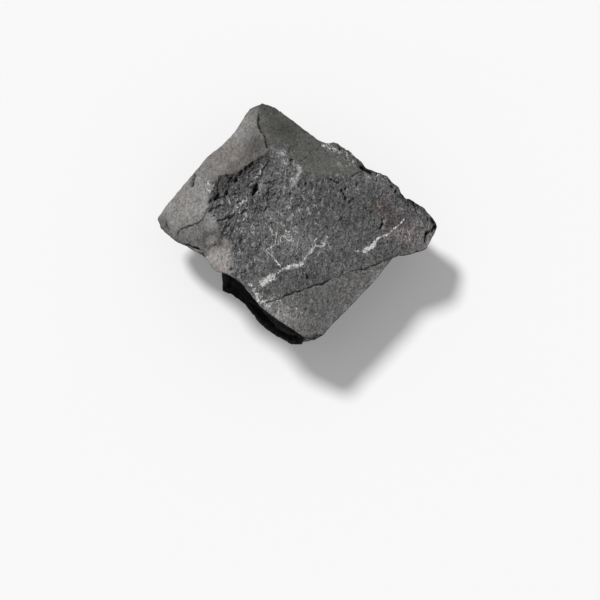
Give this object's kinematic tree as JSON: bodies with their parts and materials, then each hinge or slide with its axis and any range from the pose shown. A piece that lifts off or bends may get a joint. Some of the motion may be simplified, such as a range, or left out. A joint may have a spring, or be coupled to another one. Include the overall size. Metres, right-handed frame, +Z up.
{
  "type": "raw shungite stone",
  "caption": "Raw broken shungite stone: a flat-lying angular block with a rough grey-black crown, smooth fracture slopes, thin white veins and a stepped rim.",
  "frame": {"origin": "centre of the stone's plan box, on the plane of the resting face", "axes": "+X along the stone's long way, toward the east shelf; +Y toward the north tip; +Z up from the resting face"},
  "size_m": [0.072, 0.0636, 0.0235],
  "materials": {
    "shungite": "dull dark grey fracture faces, rough on the crown, with thin white veins"
  },
  "bodies": {
    "root": {"shungite_stone": "shungite"}
  },
  "joints": []
}
